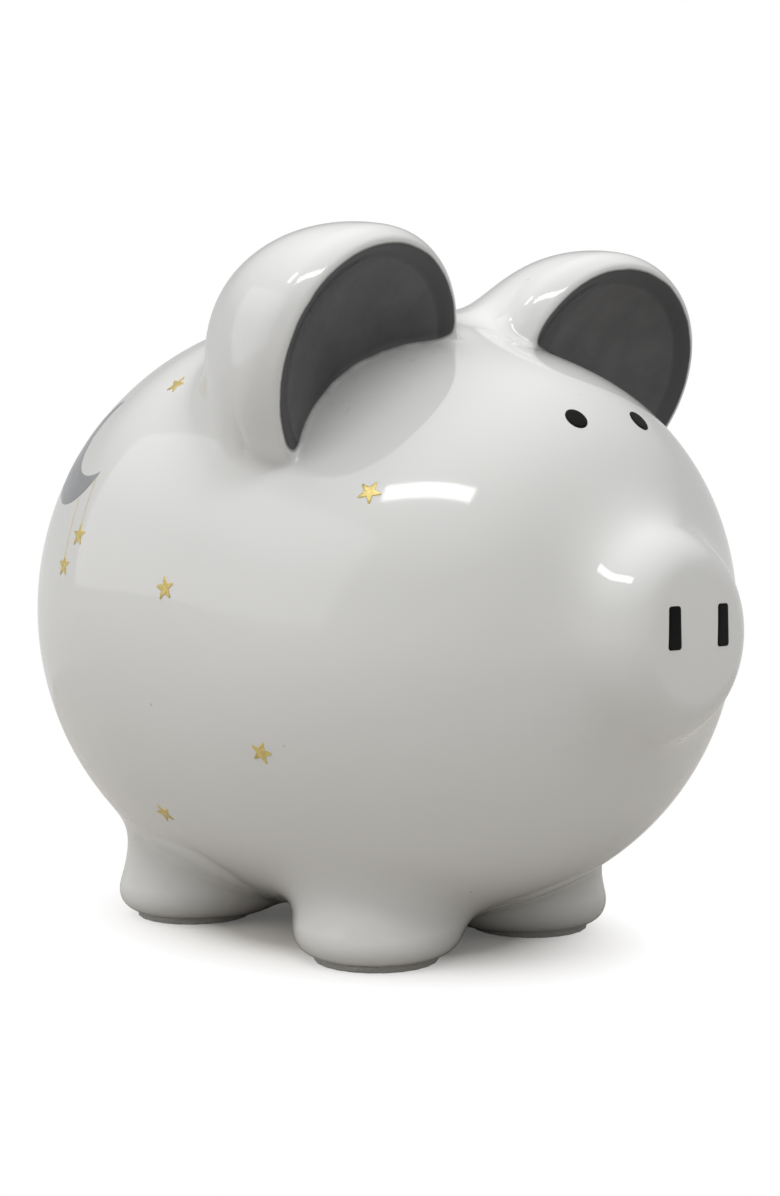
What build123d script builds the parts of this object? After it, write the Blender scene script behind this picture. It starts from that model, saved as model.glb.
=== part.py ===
from build123d import *
import math
import os

# A pig-shaped glazed ceramic money bank.  Millimetres; the pig faces -Y, its right side is -X,
# +Z is up and the pads stand on z = 0.

# The hollow body: a round egg turned about a level axis, blunt in front and rounder behind.
BODY_RADIUS = 91.0
BODY_AXIS_Z = 95.5
BODY_MID_Y = 22.6
FRONT_LENGTH = 123.6
REAR_LENGTH = 87.9
FRONT_BLUNTNESS = 2.5
REAR_BLUNTNESS = 2.2
WALL = 5.0
PROFILE_STEPS = 12

# The snout, a little below the egg's axis.
SNOUT_AXIS_Z = 94.0
SNOUT_FACE_Y = -115.0
SNOUT_FACE_RADIUS = 24.5
SNOUT_BASE_RADIUS = 31.0
SNOUT_BASE_Y = -86.0
SNOUT_EDGE_ROUNDING = 7.0
SNOUT_ROOT_ROUNDING = 7.0
SNOUT_BORE_RADIUS = 18.0

# The coin slot on the back and the stopper hole in the belly.
SLOT_WIDTH = 5.2
SLOT_LENGTH = 40.0
SLOT_MID_Y = 36.0
HOLE_RADIUS = 16.0
HOLE_Y = 15.0
SEAT_Z = 9.0
SEAT_RADIUS = 21.5
SEAT_WALL = 5.0
SEAT_BOSS_RADIUS = 27.0

# Ears: cupped domes whose rims lean forward and outward.
EAR_X = 47.1
EAR_Y = -42.2
EAR_Z = 163.2
EAR_RADIUS = 38.4
EAR_DEPTH = 51.0
EAR_SPLAY = -6.3
EAR_LEAN = 19.7
EAR_ROLL = 20.1
EAR_RIM_WIDTH = 3.8
EAR_RIM_ROUNDING = 1.6
EAR_STEP_DEPTH = 4.0
EAR_STEP_TAPER = 3.4
EAR_BOWL_DEPTH = 10.5

# Legs and the pads under them.
LEG_X = 31.4
FRONT_LEG_Y = -26.3
REAR_LEG_Y = 57.0
LEG_FOOT_RADIUS = 24.5
LEG_TOP_RADIUS = 20.0
LEG_TOP_Z = 50.0
LEG_FOOT_ROUNDING = 6.9
PAD_RADIUS = 17.5
PAD_HEIGHT = 2.0

# The curled tail.
TAIL_RADIUS = 3.8
TAIL_COIL_RADIUS = 9.5
TAIL_COIL_TIGHTENING = 0.35
TAIL_STANDOFF = 1.45
TAIL_Z = 119.0
TAIL_TURNS = 0.72
TAIL_STEPS = 12

# The stopper.
STOPPER_RUNNING_GAP = 0.1
STOPPER_FLANGE_GAP = 0.3
STOPPER_FLANGE_RADIUS = 19.5
STOPPER_FLANGE_THICKNESS = 2.0
STOPPER_TOP_Z = 16.0
STOPPER_CUP_WALL = 2.5
STOPPER_TAB = (12.0, 3.0, 3.2)

# Painted marks: thin layers that follow the glaze.
MARK_THICKNESS = 0.25
EYE_X = 12.8
EYE_Z = 150.9
EYE_RADIUS = 3.3
NOSTRIL_X = 9.9
NOSTRIL_Z = 96.8
NOSTRIL_SIZE = (4.7, 11.2)
STAR_RADIUS = 3.3
STAR_WAIST = 0.45
STAR_POINTS = 5
# Stars on the right flank: distance along the pig, degrees above its axis, turn in degrees.
FLANK_STARS = [(24, 46, 12), (-7, 6, -8), (-61, 28, 5), (-34, -22, 20), (17, -37, -15)]
# The moon on the right flank, with two stars hanging from it on threads.
MOON_Y = 50.0
MOON_ANGLE = 32.0
MOON_RADIUS = 18.0
MOON_BITE_RADIUS = 15.8
MOON_BITE_SHIFT = (9.0, 7.0)
THREAD_WIDTH = 0.6
# Each thread: distance along the pig, top angle, bottom angle; its star hangs at the bottom.
THREADS = [(35.0, 25.0, 15.5), (41.6, 21.0, 10.5)]

AXIS = Axis((0, 0, BODY_AXIS_Z), (0, 1, 0))


def body_radius_at(y, grow=0.0):
    """Radius of the egg about its axis at a place along the pig."""
    if y < BODY_MID_Y:
        length, bluntness = FRONT_LENGTH + grow, FRONT_BLUNTNESS
    else:
        length, bluntness = REAR_LENGTH + grow, REAR_BLUNTNESS
    share = abs(y - BODY_MID_Y) / length
    return (BODY_RADIUS + grow) * max(1.0 - share ** bluntness, 0.0) ** (1.0 / bluntness)


def body_y_at(distance, direction):
    """Where the egg's skin is, towards the front (-1) or rear (1), this far off its axis."""
    if direction < 0:
        length, bluntness = FRONT_LENGTH, FRONT_BLUNTNESS
    else:
        length, bluntness = REAR_LENGTH, REAR_BLUNTNESS
    share = (1.0 - (distance / BODY_RADIUS) ** bluntness) ** (1.0 / bluntness)
    return BODY_MID_Y + direction * length * share


def egg_quarter(length, bluntness, radius, direction):
    """Half of the egg's outline, from its end on the axis to its widest ring."""
    points = []
    for step in range(PROFILE_STEPS + 1):
        turn = step / PROFILE_STEPS * math.pi / 2
        along = length * math.cos(turn) ** (2 / bluntness)
        out = radius * math.sin(turn) ** (2 / bluntness)
        points.append((0, BODY_MID_Y + direction * along, BODY_AXIS_Z + out))
    return Spline(*points, tangents=[(0, 0, 1), (0, -direction, 0)])


def egg(grow):
    """The solid egg, grown or shrunk all round."""
    radius = BODY_RADIUS + grow
    front = egg_quarter(FRONT_LENGTH + grow, FRONT_BLUNTNESS, radius, -1)
    rear = egg_quarter(REAR_LENGTH + grow, REAR_BLUNTNESS, radius, 1)
    axis_line = Line(front @ 0, rear @ 0)
    outline = make_face([front, rear, axis_line])
    return revolve(outline, AXIS, 360)


def snout():
    """The solid snout, running back into the egg."""
    length = SNOUT_BASE_Y - SNOUT_FACE_Y
    cone = Cone(SNOUT_BASE_RADIUS, SNOUT_FACE_RADIUS, length)
    cone = Pos(0, SNOUT_FACE_Y + length / 2, SNOUT_AXIS_Z) * Rot(90, 0, 0) * cone
    face_edge = cone.edges().sort_by(Axis.Y)[0]
    return fillet(face_edge, SNOUT_EDGE_ROUNDING)


def outer_body():
    """Egg and snout in one, with a soft root where they meet."""
    joined = egg(0) + snout()
    front, back = SNOUT_FACE_Y + 1.2 * SNOUT_EDGE_ROUNDING, SNOUT_BASE_Y
    rings = [edge for edge in joined.edges()
             if front < edge.bounding_box().min.Y and edge.bounding_box().max.Y < back]
    return fillet(rings, SNOUT_ROOT_ROUNDING)


def level_cylinder(radius, z, y_from, y_to):
    """A cylinder lying along the pig."""
    length = y_to - y_from
    return Pos(0, y_from + length / 2, z) * Rot(90, 0, 0) * Cylinder(radius, length)


def upright_cylinder(radius, x, y, z_from, z_to):
    """A cylinder standing on end."""
    height = z_to - z_from
    return Pos(x, y, z_from + height / 2) * Cylinder(radius, height)


def coin_slot():
    """The round-ended cutter for the coin slot."""
    outline = Pos(0, SLOT_MID_Y) * Rot(0, 0, 90) * SlotOverall(SLOT_LENGTH, SLOT_WIDTH)
    return extrude(Pos(0, 0, BODY_AXIS_Z) * outline, 2 * BODY_RADIUS)


def body_shell():
    """The hollow body with its coin slot and stopper hole."""
    cavity = egg(-WALL) + level_cylinder(SNOUT_BORE_RADIUS, SNOUT_AXIS_Z, SNOUT_FACE_Y + WALL, SNOUT_BASE_Y)
    boss = upright_cylinder(SEAT_BOSS_RADIUS, 0, HOLE_Y, 0, SEAT_Z + SEAT_WALL)
    shell = outer_body() - (cavity - boss)
    shell -= upright_cylinder(SEAT_RADIUS, 0, HOLE_Y, 0, SEAT_Z)
    shell -= upright_cylinder(HOLE_RADIUS, 0, HOLE_Y, 0, SEAT_Z + 2 * SEAT_WALL)
    shell -= coin_slot()
    return shell


def ear_outline(radius, depth):
    """A quarter ellipse in the plane of the ear's own axis."""
    points = []
    for step in range(PROFILE_STEPS + 1):
        turn = step / PROFILE_STEPS * math.pi / 2
        points.append((radius * math.cos(turn), depth * math.sin(turn)))
    curve = Spline(*points, tangents=[(0, 1), (-1, 0)])
    return make_face([curve, Polyline(curve @ 1, (0, 0), curve @ 0)])


def ear_recess():
    """The dished cutter for the front of an ear: a steep step, then a shallow bowl."""
    mouth = EAR_RADIUS - EAR_RIM_WIDTH
    step_radius = mouth - EAR_STEP_TAPER
    bowl = Spline((step_radius, EAR_STEP_DEPTH), (0, EAR_BOWL_DEPTH),
                  tangents=[(-0.8, 0.6), (-1, 0)])
    sides = Polyline((0, EAR_BOWL_DEPTH), (0, 0), (mouth, 0), (step_radius, EAR_STEP_DEPTH))
    return revolve(make_face([bowl, sides]), Axis.Y, 360)


def ear(side):
    """One ear casting, cut to sit on the body."""
    dome = revolve(ear_outline(EAR_RADIUS, EAR_DEPTH), Axis.Y, 360) - ear_recess()
    rim_edges = dome.edges().filter_by(GeomType.CIRCLE).group_by(Axis.Y)[0]
    dome = fillet(rim_edges, EAR_RIM_ROUNDING)
    hollow = revolve(ear_outline(EAR_RADIUS - WALL, EAR_DEPTH - WALL), Axis.Y, 360)
    hollow &= Pos(0, EAR_BOWL_DEPTH + WALL + EAR_DEPTH, 0) * Box(*[2 * EAR_DEPTH] * 3)
    turned = Rot(0, 0, side * EAR_SPLAY) * Rot(EAR_LEAN, 0, 0) * Rot(0, side * EAR_ROLL, 0)
    placed = Pos(side * EAR_X, EAR_Y, EAR_Z) * turned * (dome - hollow)
    return placed - egg(0)


def leg(x, y):
    """One hollow leg, cut to the belly above and flat below."""
    height = LEG_TOP_Z - PAD_HEIGHT
    post = Cone(LEG_FOOT_RADIUS, LEG_TOP_RADIUS, height)
    post = fillet(post.edges().sort_by(Axis.Z)[0], LEG_FOOT_ROUNDING)
    hollow_height = height - WALL
    hollow = Cone(LEG_FOOT_RADIUS - WALL - 1, LEG_TOP_RADIUS - WALL, hollow_height)
    hollow = fillet(hollow.edges().sort_by(Axis.Z)[0], WALL / 2)
    post -= Pos(0, 0, WALL / 2) * hollow
    return Pos(x, y, PAD_HEIGHT + height / 2) * post - egg(0)


def tail():
    """A short curl lying on the rump."""
    points = []
    for step in range(TAIL_STEPS + 1):
        share = step / TAIL_STEPS
        turn = 2 * math.pi * TAIL_TURNS * share
        radius = TAIL_COIL_RADIUS * (1 - TAIL_COIL_TIGHTENING * share)
        x = radius * math.sin(turn)
        z = TAIL_Z - radius * math.cos(turn)
        skin_y = body_y_at(math.hypot(x, z - BODY_AXIS_Z), 1)
        points.append((x, skin_y + TAIL_STANDOFF, z))
    path = Spline(*points)
    section = Plane(path @ 0, z_dir=path % 0) * Circle(TAIL_RADIUS)
    curl = sweep(section, path)
    for end in (path @ 0, path @ 1):
        curl += Pos(end) * Sphere(TAIL_RADIUS)
    return curl - egg(0)


def foot_pad(x, y):
    """The thin pad glued under a foot."""
    return upright_cylinder(PAD_RADIUS, x, y, 0, PAD_HEIGHT)


def belly_stopper():
    """The soft plug for the belly hole: flange, hollow plug and pull tab."""
    flange_top = SEAT_Z - STOPPER_FLANGE_GAP
    flange_bottom = flange_top - STOPPER_FLANGE_THICKNESS
    plug_radius = HOLE_RADIUS - STOPPER_RUNNING_GAP
    plug = upright_cylinder(STOPPER_FLANGE_RADIUS, 0, HOLE_Y, flange_bottom, flange_top)
    plug += upright_cylinder(plug_radius, 0, HOLE_Y, flange_top, STOPPER_TOP_Z)
    plug -= upright_cylinder(plug_radius - STOPPER_CUP_WALL, 0, HOLE_Y, SEAT_Z, STOPPER_TOP_Z)
    tab = Box(*STOPPER_TAB, align=(Align.CENTER, Align.CENTER, Align.MAX))
    plug += Pos(0, HOLE_Y, flange_bottom) * tab
    return plug


def flank_plane(y, angle, side):
    """The plane touching the glaze on one flank; its local y axis runs up the flank."""
    radius = body_radius_at(y)
    slope = body_radius_at(y + 0.5) - body_radius_at(y - 0.5)
    turn = math.radians(angle)
    outward = Vector(side * math.cos(turn), -slope, math.sin(turn))
    upward = Vector(-side * math.sin(turn), 0, math.cos(turn))
    spot = (side * radius * math.cos(turn), y, BODY_AXIS_Z + radius * math.sin(turn))
    return Plane(spot, x_dir=upward.cross(outward), z_dir=outward)


def glaze_mark(outline, plane):
    """A flat outline laid as a thin layer on the egg."""
    reach = BODY_RADIUS / 3
    prism = extrude(plane * Pos(0, 0, -reach) * outline, 2 * reach, dir=plane.z_dir)
    return (prism & egg(MARK_THICKNESS)) - egg(0)


def eye(side):
    """A round painted eye."""
    height = EYE_Z - BODY_AXIS_Z
    angle = math.degrees(math.atan2(height, EYE_X))
    distance = math.hypot(height, EYE_X)
    return glaze_mark(Circle(EYE_RADIUS), flank_plane(body_y_at(distance, -1), angle, side))


def nostril(side):
    """An upright painted bar on the snout face."""
    plane = Plane((side * NOSTRIL_X, SNOUT_FACE_Y, NOSTRIL_Z), x_dir=(1, 0, 0), z_dir=(0, -1, 0))
    bar = RectangleRounded(*NOSTRIL_SIZE, NOSTRIL_SIZE[0] / 4)
    return extrude(plane * bar, MARK_THICKNESS)


def star_outline(turn):
    """A five-pointed star."""
    points = []
    for corner in range(2 * STAR_POINTS):
        radius = STAR_RADIUS if corner % 2 == 0 else STAR_RADIUS * STAR_WAIST
        angle = math.pi / 2 + corner * math.pi / STAR_POINTS
        points.append((radius * math.cos(angle), radius * math.sin(angle)))
    return Rot(0, 0, turn) * make_face(Polyline(*points, close=True))


def gold_stars():
    """All the gold stars: five on each flank and two hanging under the moon."""
    stars = []
    for side in (-1, 1):
        for y, angle, turn in FLANK_STARS:
            stars.append(glaze_mark(star_outline(side * turn), flank_plane(y, angle, side)))
    for y, _, bottom_angle in THREADS:
        drop = math.degrees(STAR_RADIUS / BODY_RADIUS)
        stars.append(glaze_mark(star_outline(0), flank_plane(y, bottom_angle - drop, -1)))
    return Compound([solid for star in stars for solid in star.solids()])


def moon():
    """The crescent moon on the right flank."""
    # On the right flank the plane's local x axis runs towards the head.
    bite = Pos(*MOON_BITE_SHIFT) * Circle(MOON_BITE_RADIUS)
    crescent = Circle(MOON_RADIUS) - bite
    return glaze_mark(crescent, flank_plane(MOON_Y, MOON_ANGLE, -1))


def moon_threads():
    """The painted threads the two hanging stars hang by."""
    threads = []
    for y, top_angle, bottom_angle in THREADS:
        middle = (top_angle + bottom_angle) / 2
        length = math.radians(top_angle - bottom_angle) * body_radius_at(y)
        strip = Rectangle(THREAD_WIDTH, length)
        threads.append(glaze_mark(strip, flank_plane(y, middle, -1)))
    return Compound([solid for thread in threads for solid in thread.solids()]) - moon()


nodes = {
    "body_shell": body_shell(),
    "tail": tail(),
    "belly_stopper": belly_stopper(),
    "gold_stars": gold_stars(),
    "moon": moon(),
    "moon_threads": moon_threads(),
}
for name, side in (("right", -1), ("left", 1)):
    nodes[f"ear_{name}"] = ear(side)
    nodes[f"eye_{name}"] = eye(side)
    nodes[f"nostril_{name}"] = nostril(side)
    for end, leg_y in (("front", FRONT_LEG_Y), ("rear", REAR_LEG_Y)):
        nodes[f"pad_{end}_{name}"] = foot_pad(side * LEG_X, leg_y)
for end, leg_y in (("front", FRONT_LEG_Y), ("rear", REAR_LEG_Y)):
    nodes[f"leg_{end}_left"] = leg(LEG_X, leg_y)
    nodes[f"leg_{end}_right"] = mirror(nodes[f"leg_{end}_left"], about=Plane.YZ)

os.makedirs("parts", exist_ok=True)
for node, shape in nodes.items():
    export_step(shape, f"parts/{node}.step")
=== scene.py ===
import math

import bpy
import mathutils.geometry
import numpy as np
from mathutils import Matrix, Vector


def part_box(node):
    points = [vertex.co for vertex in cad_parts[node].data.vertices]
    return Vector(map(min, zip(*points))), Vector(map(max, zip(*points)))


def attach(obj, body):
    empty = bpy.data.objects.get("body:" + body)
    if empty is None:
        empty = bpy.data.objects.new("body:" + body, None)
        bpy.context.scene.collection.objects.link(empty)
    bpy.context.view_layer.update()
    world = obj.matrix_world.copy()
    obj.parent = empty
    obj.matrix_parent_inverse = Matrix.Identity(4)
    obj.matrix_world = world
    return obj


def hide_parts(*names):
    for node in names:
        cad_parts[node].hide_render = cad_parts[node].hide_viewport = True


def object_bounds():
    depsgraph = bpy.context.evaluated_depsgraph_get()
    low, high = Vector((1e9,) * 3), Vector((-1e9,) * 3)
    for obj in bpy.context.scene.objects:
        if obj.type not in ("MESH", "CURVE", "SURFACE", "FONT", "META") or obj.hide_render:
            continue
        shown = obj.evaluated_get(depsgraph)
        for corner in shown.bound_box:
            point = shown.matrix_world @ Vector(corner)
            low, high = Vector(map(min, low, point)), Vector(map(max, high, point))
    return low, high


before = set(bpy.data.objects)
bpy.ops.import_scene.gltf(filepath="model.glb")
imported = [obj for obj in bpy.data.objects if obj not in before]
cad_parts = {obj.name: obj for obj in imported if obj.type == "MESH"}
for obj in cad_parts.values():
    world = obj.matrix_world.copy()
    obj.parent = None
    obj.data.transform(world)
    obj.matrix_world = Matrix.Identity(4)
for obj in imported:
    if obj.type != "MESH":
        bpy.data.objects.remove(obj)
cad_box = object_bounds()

# Shapes are worked out in millimetres and turned into metres when a mesh is made.
MM = 0.001


def node_box(node):
    """A CAD node's lowest and highest corners, in millimetres."""
    low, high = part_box(node)
    return np.array(low) / MM, np.array(high) / MM


# The body: the same egg of revolution as the CAD shell, sized from its box.
SHELL_LOW, SHELL_HIGH = node_box("body_shell")
RADIUS = (SHELL_HIGH[0] - SHELL_LOW[0]) / 2
AXIS_Z = SHELL_HIGH[2] - RADIUS
FRONT_LENGTH = 123.6
REAR_LENGTH = 87.9
FRONT_BLUNTNESS = 2.5
REAR_BLUNTNESS = 2.2
MID_Y = SHELL_HIGH[1] - REAR_LENGTH
WALL = 5.0

# The brow: a shallow flat round the front of the ears, below the egg.
BROW_DEPTH = 4.2
BROW_Y = -44.0
BROW_WIDTH = 27.0
# It starts and is whole where the skin faces upwards by these shares.
BROW_SPAN = (-0.3, 0.8)

# The snout.
SNOUT_AXIS_Z = 94.0
SNOUT_FACE_Y = SHELL_LOW[1]
SNOUT_RADIUS = 25.0
SNOUT_SLOPE = 0.2
SNOUT_ROUNDING = 8.0
SNOUT_BLEND = 22.0
SNOUT_DEPTH = 45.0
# The face bulges by this times the square of the distance off its middle.
SNOUT_CROWN = 0.0025

# Ears: the rim's middle, the outer shell, and how it turns outwards, leans back and rolls.
EAR_CENTRE = np.array([47.1, -42.2, 163.2])
EAR_RADIUS = 38.4
EAR_DEPTH = 51.0
EAR_SPLAY = -6.3
EAR_LEAN = 19.7
EAR_ROLL = 20.1
# The dish: its mouth is narrower than round, most of all near the root.
EAR_MOUTH = 35.0
EAR_NARROWING = 0.04
EAR_RIM_WIDTH = 0.6
EAR_RIM_SLOPE = 0.6
EAR_STEP = 3.3
EAR_BOWL = 10.5
EAR_STEP_WIDTH = 5.0
EAR_SIDE_ROUNDING = 4.0
EAR_FRONT_ROUNDING = 3.0
EAR_FLOOR_ROUNDING = 1.6
EAR_RIM_ROUNDING = 3.4
# The ear meets the body in a tight crease in front and a wide fillet over these depths behind.
EAR_CREASE = 3.2
EAR_ROOT = 26.0
EAR_ROOT_SPAN = (-3.0, 24.0)
# The paint stops this high above the body, with corners rounded this much.
PAINT_RISE = 0.4
PAINT_CORNER = 9.0
# How far a casting's apron runs out over the body before its seam.
EAR_APRON = 3.5

# Legs, from the foot pads.
LEG_FOOT_RADIUS = 25.5
LEG_TOP_RADIUS = 11.5
LEG_TOP_Z = 50.0
LEG_ROUNDING = 9.0
LEG_BLEND = 19.0
LEGS = ("front_left", "front_right", "rear_left", "rear_right")

# Grid used to turn the glazed shape into a mesh.
CELL = 1.5
COARSE = 4


# ---------------------------------------------------------------- shape fields

def soft_min(a, b, k):
    """Union of two distance fields with a rounded valley k wide."""
    h = np.maximum(k - np.abs(a - b), 0) / k
    return np.minimum(a, b) - h * h * h * k / 6


def soft_max(a, b, k):
    """Intersection of two distance fields with a rounded edge."""
    return -soft_min(-a, -b, k)


def smooth_step(low, high, value):
    t = np.clip((value - low) / (high - low), 0, 1)
    return t * t * (3 - 2 * t)


def egg_field(p, grow=0.0):
    """Distance to the body egg."""
    y = p[:, 1] - MID_Y
    front = y < 0
    length = np.where(front, FRONT_LENGTH, REAR_LENGTH) + grow
    n = np.where(front, FRONT_BLUNTNESS, REAR_BLUNTNESS)
    radius = RADIUS + grow
    out = np.maximum(np.hypot(p[:, 0], p[:, 2] - AXIS_Z) / radius, 1e-4)
    along = np.maximum(np.abs(y) / length, 1e-4)
    total = out ** n + along ** n
    level = total ** (1 / n)
    steep = total ** (1 / n - 1)
    slope = np.hypot(out ** (n - 1) * steep / radius, along ** (n - 1) * steep / length)
    return (level - 1) / slope


def body_field(p):
    """Distance to the egg with its flattened brow."""
    off = p[:, 2] - AXIS_Z
    upright = off / np.maximum(np.hypot(p[:, 0], off), 1e-6)
    dip = BROW_DEPTH * np.exp(-((p[:, 1] - BROW_Y) / BROW_WIDTH) ** 2) * smooth_step(*BROW_SPAN, upright)
    return egg_field(p) + dip


def rounded_post(out, along, radius, rounding):
    """Distance to a round post that starts at along = 0 with a rounded end."""
    side = out - (radius - rounding)
    end = rounding - along
    outside = np.hypot(np.maximum(side, 0), np.maximum(end, 0))
    return outside + np.minimum(np.maximum(side, end), 0) - rounding


def snout_field(p):
    out = np.hypot(p[:, 0], p[:, 2] - SNOUT_AXIS_Z)
    along = p[:, 1] - SNOUT_FACE_Y - SNOUT_CROWN * out * out
    radius = SNOUT_RADIUS + SNOUT_SLOPE * np.clip(along, 0, SNOUT_DEPTH)
    return np.maximum(rounded_post(out, along, radius, SNOUT_ROUNDING), along - SNOUT_DEPTH)


def turn_matrix(axis, degrees):
    """Rotation about axis 0, 1 or 2."""
    a = math.radians(degrees)
    c, s = math.cos(a), math.sin(a)
    return np.roll(np.array([[1, 0, 0], [0, c, -s], [0, s, c]]), (axis, axis), (0, 1))


def ear_frame(side):
    """An ear's centre and its axes: across the rim, backwards, and up the rim."""
    axes = turn_matrix(2, side * EAR_SPLAY) @ turn_matrix(0, EAR_LEAN) @ turn_matrix(1, side * EAR_ROLL)
    return EAR_CENTRE * np.array([side, 1, 1]), axes


def ear_parts(p, side):
    """Distance to an ear, with each point's distance off the ear's axis and depth behind its rim."""
    centre, axes = ear_frame(side)
    q = (p - centre) @ axes
    round_out = np.hypot(q[:, 0], q[:, 2])
    narrowing = 1 + EAR_NARROWING * (1.5 - q[:, 2] / EAR_RADIUS)
    out = np.hypot(narrowing * q[:, 0], q[:, 2])
    depth = q[:, 1]
    a, b = round_out / EAR_RADIUS, depth / EAR_DEPTH
    level = np.maximum(np.hypot(a, b), 1e-6)
    slope = np.maximum(np.hypot(a / EAR_RADIUS, b / EAR_DEPTH), 1e-6)
    dome = level * (level - 1) / slope
    fall = (out - EAR_MOUTH - EAR_RIM_WIDTH - EAR_RIM_SLOPE * depth) / math.hypot(1, EAR_RIM_SLOPE)
    outside = soft_max(soft_max(dome, fall, EAR_SIDE_ROUNDING), -depth, EAR_FRONT_ROUNDING)
    taper = EAR_STEP_WIDTH / EAR_STEP
    wall = (out - EAR_MOUTH + taper * depth) / math.hypot(1, taper)
    floor_share = np.clip(out / (EAR_MOUTH - EAR_STEP_WIDTH), 0, 1)
    floor_depth = EAR_STEP + (EAR_BOWL - EAR_STEP) * (1 - floor_share ** 2)
    recess = soft_max(wall, depth - floor_depth, EAR_FLOOR_ROUNDING)
    return soft_max(outside, -recess, EAR_RIM_ROUNDING), out, depth


def leg_places():
    """The middle of each foot, from its pad."""
    places = {}
    for leg in LEGS:
        low, high = node_box("pad_" + leg)
        places[leg] = ((low[0] + high[0]) / 2, (low[1] + high[1]) / 2)
    return places


LEG_PLACES = leg_places()
PAD_LOW, PAD_HIGH = node_box("pad_front_left")
PAD_TOP = PAD_HIGH[2]
PAD_RADIUS = (PAD_HIGH[0] - PAD_LOW[0]) / 2


def leg_field(p, leg):
    x, y = LEG_PLACES[leg]
    out = np.hypot(p[:, 0] - x, p[:, 1] - y)
    height = p[:, 2] - PAD_TOP
    top = LEG_TOP_Z - PAD_TOP
    radius = LEG_FOOT_RADIUS + (LEG_TOP_RADIUS - LEG_FOOT_RADIUS) * np.clip(height / top, 0, 1)
    return np.maximum(rounded_post(out, height, radius, LEG_ROUNDING), height - top)


# The tail's curl, following the same turn as the CAD tail.
TAIL_LOW, TAIL_HIGH = node_box("tail")
TAIL_COIL = 9.5
TAIL_TIGHTENING = 0.35
TAIL_TURNS = 0.72
TAIL_Z = 119.0
TAIL_STANDOFF = 1.45
TAIL_THICK = 3.9
TAIL_THIN = 3.2
TAIL_REACH = 12.0
TAIL_BLEND = 3.5


def egg_rear_y(distance):
    """Where the egg's skin is at the rear, this far off its axis."""
    share = max(1 - (distance / RADIUS) ** REAR_BLUNTNESS, 0)
    return MID_Y + REAR_LENGTH * share ** (1 / REAR_BLUNTNESS)


def tail_line():
    """The middle of the curl, lying on the egg's rear."""
    points = []
    for share in np.linspace(0, 1, 34):
        turn = 2 * math.pi * TAIL_TURNS * share
        radius = TAIL_COIL * (1 - TAIL_TIGHTENING * share)
        x = radius * math.sin(turn)
        z = TAIL_Z - radius * math.cos(turn)
        points.append((x, egg_rear_y(math.hypot(x, z - AXIS_Z)) + TAIL_STANDOFF, z))
    return np.array(points)


TAIL_LINE = tail_line()


def tail_field(p):
    """Distance to the tail, which thins towards its tip."""
    result = np.linalg.norm(p - TAIL_LINE.mean(axis=0), axis=1) - TAIL_COIL
    near = result < TAIL_REACH
    q = p[near]
    best = np.full(len(q), 1e9)
    count = len(TAIL_LINE) - 1
    for step in range(count):
        a, b = TAIL_LINE[step], TAIL_LINE[step + 1]
        run = b - a
        t = np.clip((q - a) @ run / (run @ run), 0, 1)
        thickness = TAIL_THICK + (TAIL_THIN - TAIL_THICK) * (step + t) / count
        best = np.minimum(best, np.linalg.norm(q - a - t[:, None] * run, axis=1) - thickness)
    result[near] = best
    return result


# Coin slot and belly hole.
SLOT_WIDTH = 5.2
SLOT_LENGTH = 40.0
SLOT_Y = 36.0
SLOT_FLOOR_Z = SHELL_HIGH[2] - 17.0
STOPPER_LOW, STOPPER_HIGH = node_box("belly_stopper")
HOLE_Y = (STOPPER_LOW[1] + STOPPER_HIGH[1]) / 2
HOLE_RADIUS = 16.0
SEAT_RADIUS = 21.5
SEAT_Z = 9.0
HOLE_TOP_Z = 19.0
SLOT_LIP = 2.6
SEAT_LIP = 2.8
HOLE_LIP = 1.4


def openings_field(p, field):
    """Cuts the coin slot and the belly hole with its seat, all with softly glazed lips."""
    run = np.maximum(np.abs(p[:, 1] - SLOT_Y) - (SLOT_LENGTH - SLOT_WIDTH) / 2, 0)
    slot = np.maximum(np.hypot(p[:, 0], run) - SLOT_WIDTH / 2, SLOT_FLOOR_Z - p[:, 2])
    field = soft_max(field, -slot, SLOT_LIP)
    out = np.hypot(p[:, 0], p[:, 1] - HOLE_Y)
    seat = np.maximum(out - SEAT_RADIUS, p[:, 2] - SEAT_Z)
    field = soft_max(field, -seat, SEAT_LIP)
    hole = np.maximum(out - HOLE_RADIUS, p[:, 2] - HOLE_TOP_Z)
    return soft_max(field, -hole, HOLE_LIP)


def glazed_field(p):
    """Distance to the whole glazed pig."""
    field = soft_min(body_field(p), snout_field(p), SNOUT_BLEND)
    for side in (-1, 1):
        ear, out, depth = ear_parts(p, side)
        outside = smooth_step(EAR_MOUTH - 1, EAR_RADIUS + 5, out + np.maximum(depth - EAR_BOWL - 2, 0))
        blend = EAR_CREASE + (EAR_ROOT - EAR_CREASE) * outside * smooth_step(*EAR_ROOT_SPAN, depth)
        field = soft_min(field, ear, blend)
    for leg in LEGS:
        field = soft_min(field, leg_field(p, leg), LEG_BLEND)
    field = soft_min(field, tail_field(p), TAIL_BLEND)
    return openings_field(p, field)


def slope_of(field, p, step):
    """Unit direction in which a field grows."""
    slope = np.empty_like(p)
    for axis in range(3):
        shift = np.zeros(3)
        shift[axis] = step
        slope[:, axis] = field(p + shift) - field(p - shift)
    return slope / np.maximum(np.linalg.norm(slope, axis=1), 1e-9)[:, None]


def outward_at(p):
    """Unit outward direction of the glazed surface."""
    return slope_of(glazed_field, p, 0.02)


def onto_surface(p, rounds=3):
    """Moves points onto the glazed surface, by short steps."""
    for _ in range(rounds):
        away = np.clip(glazed_field(p), -1.5, 1.5)
        p = p - away[:, None] * outward_at(p)
    return p


# ---------------------------------------------------------------- meshing

def edge_ends(quads):
    """The first and second corner of each face's edges."""
    return quads.ravel().astype(np.int64), np.roll(quads, -1, axis=1).ravel()


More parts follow.
